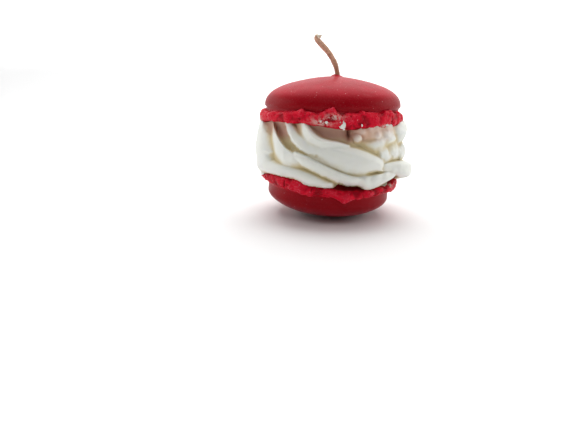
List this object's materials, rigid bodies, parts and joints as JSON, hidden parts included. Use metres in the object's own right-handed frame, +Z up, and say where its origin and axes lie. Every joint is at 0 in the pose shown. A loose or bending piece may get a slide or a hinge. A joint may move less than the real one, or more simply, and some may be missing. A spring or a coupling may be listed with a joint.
{
  "type": "macaron-shaped candle",
  "caption": "Decorative candle shaped like a French macaron, with domed red wax shells, a piped off-white wax filling and a short bent wick.",
  "frame": {"origin": "middle of the small flat under the lower shell, on which the candle stands", "axes": "+Z up through both shells; the front, where the piping sweeps down to the right, faces -Y"},
  "size_m": [0.0582, 0.0545, 0.0658],
  "materials": {
    "red_wax": "satin cast wax, smooth on the domes and crumbly on the feet",
    "white_wax": "satin piped wax, slightly translucent",
    "waxed_cotton": "stiff waxed cord, pale and frayed at the tip"
  },
  "bodies": {
    "root": {"bottom_shell": "red_wax", "filling": "white_wax", "top_shell": "red_wax", "wick": "waxed_cotton"}
  },
  "joints": []
}
